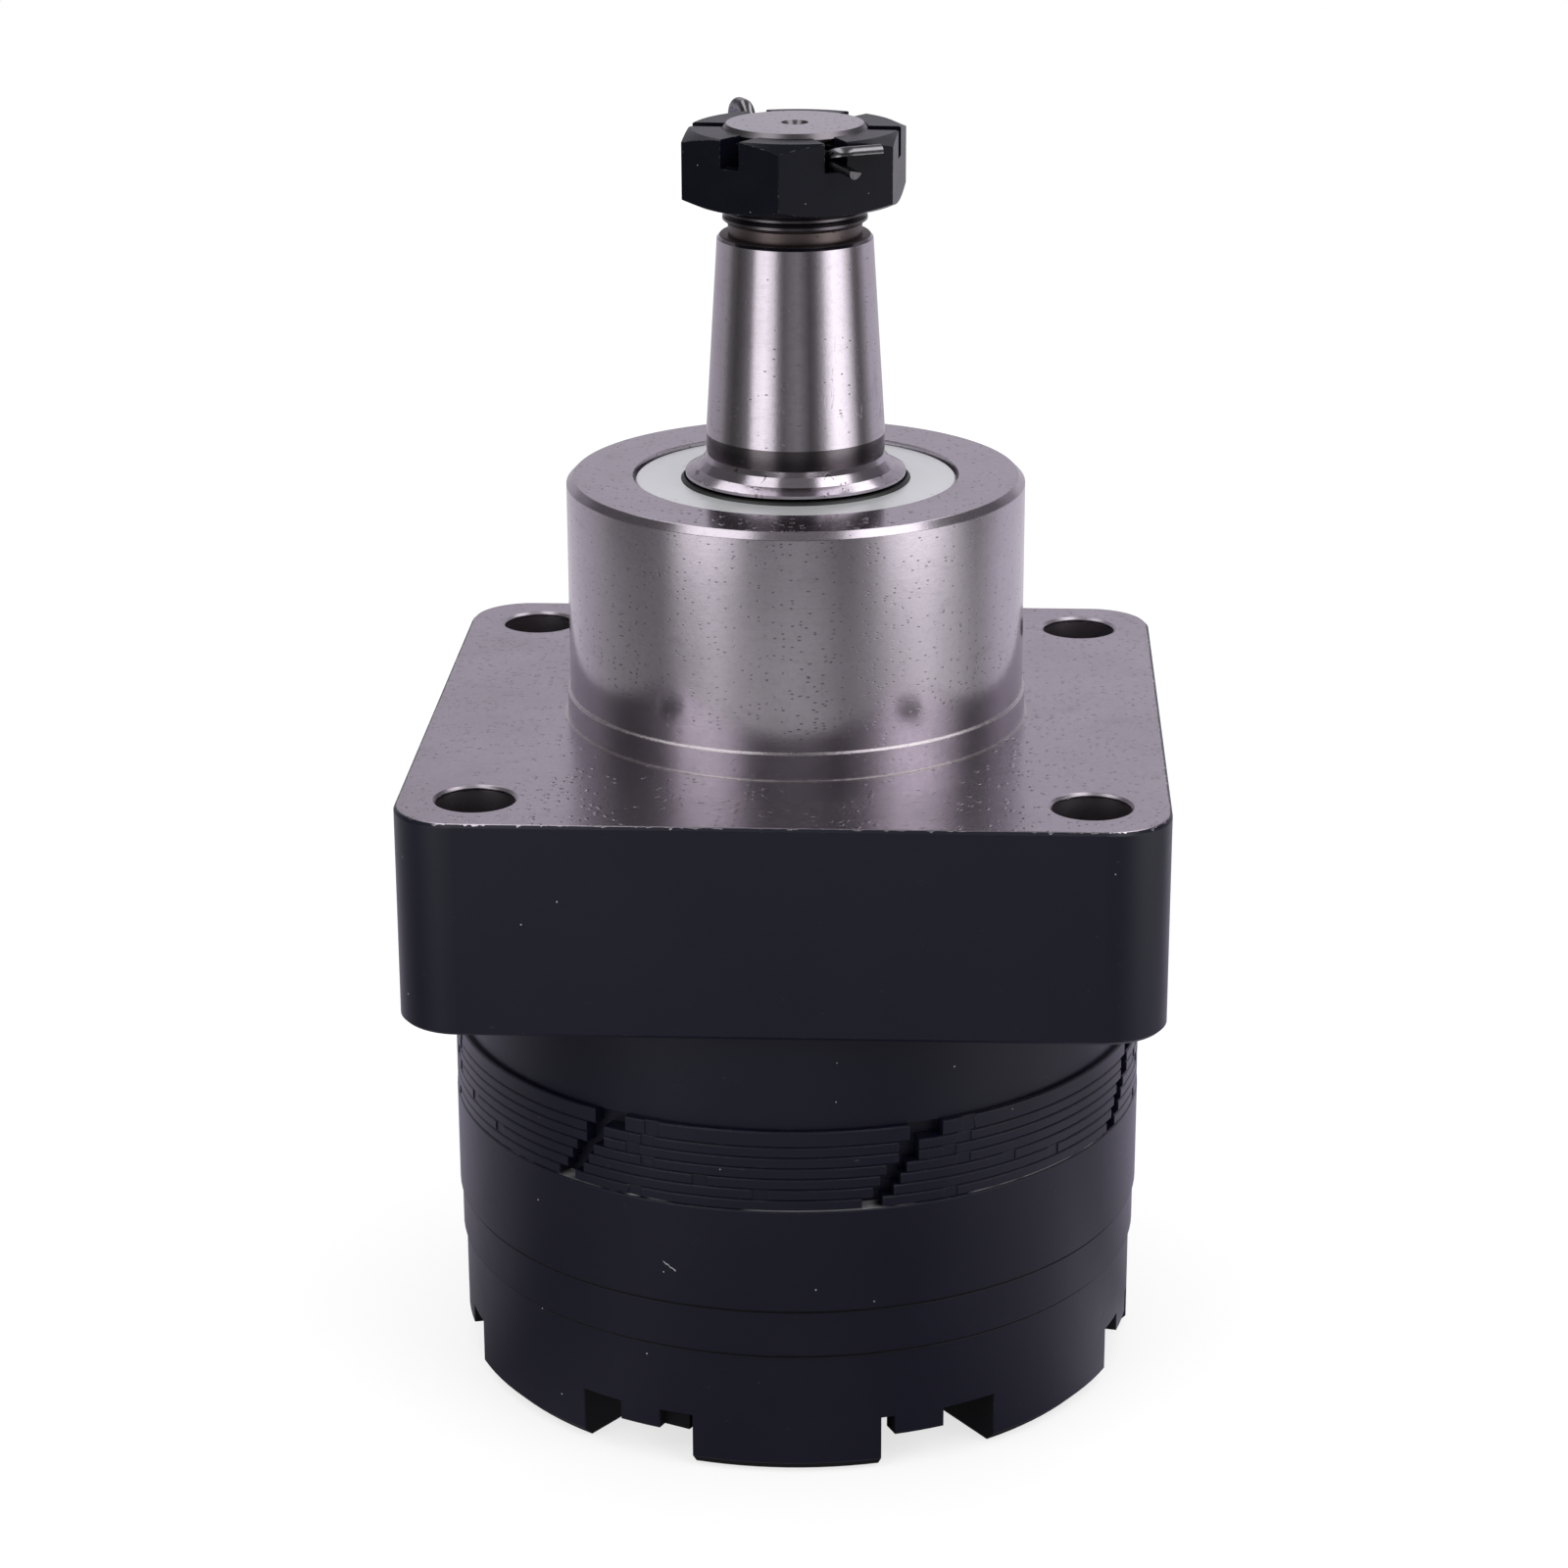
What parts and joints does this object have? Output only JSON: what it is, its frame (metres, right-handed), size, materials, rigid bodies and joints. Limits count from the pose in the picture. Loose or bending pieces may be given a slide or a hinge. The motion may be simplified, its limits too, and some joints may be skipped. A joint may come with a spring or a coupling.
{
  "type": "hydraulic motor",
  "caption": "Low-speed hydraulic wheel motor: tapered keyed shaft with slotted nut, long round nose, square four-hole flange and a stacked round body with a notched end cover.",
  "frame": {"origin": "where the shaft axis meets the mounting face of the square flange", "axes": "+Z along the output shaft towards its threaded end, -Y towards the plain side of the flange, +Y towards the side with the two work ports"},
  "size_m": [0.1316, 0.1316, 0.2286],
  "materials": {
    "machined_iron_part_painted": "satin",
    "black_paint": "semi-gloss",
    "ground_steel": "ground",
    "cage_brass": "machined",
    "black_oxide": "black oxide",
    "zinc_plate": "zinc plated",
    "seal_rubber": "matt"
  },
  "bodies": {
    "motor_case": {"housing": "machined_iron_part_painted", "dust_cover": "zinc_plate", "dust_seal": "seal_rubber", "shaft_seal": "seal_rubber", "seal_backup_ring": "ground_steel", "front_bearing_outer_race": "ground_steel", "rear_bearing_outer_race": "ground_steel", "bearing_spacer": "ground_steel", "bearing_retainer": "ground_steel", "balance_ring": "ground_steel", "balance_seal": "seal_rubber", "balance_spring": "ground_steel", "manifold_plate_1": "black_paint", "manifold_plate_2": "black_paint", "manifold_plate_3": "black_paint", "manifold_plate_4": "black_paint", "manifold_plate_5": "black_paint", "manifold_plate_6": "black_paint", "manifold_plate_7": "black_paint", "stator_ring": "black_paint", "wear_plate": "black_paint", "end_cover": "black_paint", "cover_bolts": "black_oxide", "section_seals": "seal_rubber"},
    "output_group": {"output_shaft": "ground_steel", "shaft_key": "ground_steel", "castle_nut": "black_oxide", "cotter_pin": "ground_steel", "front_bearing_inner_race": "ground_steel", "rear_bearing_inner_race": "ground_steel", "rotary_valve": "ground_steel"},
    "front_cage_group": {"front_bearing_cage": "cage_brass", "front_bearing_rollers": "ground_steel"},
    "rear_cage_group": {"rear_bearing_cage": "cage_brass", "rear_bearing_rollers": "ground_steel"},
    "orbiting_disc": {"link_thrust_disc": "ground_steel"},
    "rotor_body": {"rotor": "ground_steel"},
    "link_body": {"drive_link": "ground_steel"},
    "vane_roller_1": {"roller_1": "ground_steel"},
    "vane_roller_2": {"roller_2": "ground_steel"},
    "vane_roller_3": {"roller_3": "ground_steel"},
    "vane_roller_4": {"roller_4": "ground_steel"},
    "vane_roller_5": {"roller_5": "ground_steel"},
    "vane_roller_6": {"roller_6": "ground_steel"},
    "vane_roller_7": {"roller_7": "ground_steel"}
  },
  "joints": [
    {"name": "shaft_spin", "type": "hinge", "parent": "motor_case", "child": "output_group", "pos_m": [0, 0, 0], "axis": [0, 0, 1], "continuous": true},
    {"name": "front_cage_spin", "type": "hinge", "parent": "motor_case", "child": "front_cage_group", "pos_m": [0, 0, 0.018], "axis": [0, 0, 1], "continuous": true},
    {"name": "rear_cage_spin", "type": "hinge", "parent": "motor_case", "child": "rear_cage_group", "pos_m": [0, 0, -0.018], "axis": [0, 0, 1], "continuous": true},
    {"name": "orbit_spin", "type": "hinge", "parent": "motor_case", "child": "orbiting_disc", "pos_m": [0, 0, -0.095], "axis": [0, 0, 1], "continuous": true},
    {"name": "rotor_spin", "type": "hinge", "parent": "orbiting_disc", "child": "rotor_body", "pos_m": [0.00134, -0.00269, -0.08047], "axis": [0, 0, 1], "continuous": true},
    {"name": "link_spin", "type": "hinge", "parent": "orbiting_disc", "child": "link_body", "pos_m": [0, 0, -0.024], "axis": [-0.0236, 0.0475, 0.9986], "continuous": true},
    {"name": "roller_spin_1", "type": "hinge", "parent": "motor_case", "child": "vane_roller_1", "pos_m": [0.01671, -0.03357, -0.08047], "axis": [0, 0, 1], "continuous": true},
    {"name": "roller_spin_2", "type": "hinge", "parent": "motor_case", "child": "vane_roller_2", "pos_m": [0.03667, -0.00787, -0.08047], "axis": [0, 0, 1], "continuous": true},
    {"name": "roller_spin_3", "type": "hinge", "parent": "motor_case", "child": "vane_roller_3", "pos_m": [0.02901, 0.02376, -0.08047], "axis": [0, 0, 1], "continuous": true},
    {"name": "roller_spin_4", "type": "hinge", "parent": "motor_case", "child": "vane_roller_4", "pos_m": [-0.00049, 0.0375, -0.08047], "axis": [0, 0, 1], "continuous": true},
    {"name": "roller_spin_5", "type": "hinge", "parent": "motor_case", "child": "vane_roller_5", "pos_m": [-0.02962, 0.023, -0.08047], "axis": [0, 0, 1], "continuous": true},
    {"name": "roller_spin_6", "type": "hinge", "parent": "motor_case", "child": "vane_roller_6", "pos_m": [-0.03645, -0.00882, -0.08047], "axis": [0, 0, 1], "continuous": true},
    {"name": "roller_spin_7", "type": "hinge", "parent": "motor_case", "child": "vane_roller_7", "pos_m": [-0.01583, -0.034, -0.08047], "axis": [0, 0, 1], "continuous": true}
  ],
  "couplings": [
    {"joint": "front_cage_spin", "follows": "shaft_spin", "ratio": 0.44039},
    {"joint": "rear_cage_spin", "follows": "shaft_spin", "ratio": 0.44039},
    {"joint": "orbit_spin", "follows": "shaft_spin", "ratio": -6},
    {"joint": "rotor_spin", "follows": "shaft_spin", "ratio": 7},
    {"joint": "link_spin", "follows": "shaft_spin", "ratio": 7}
  ]
}
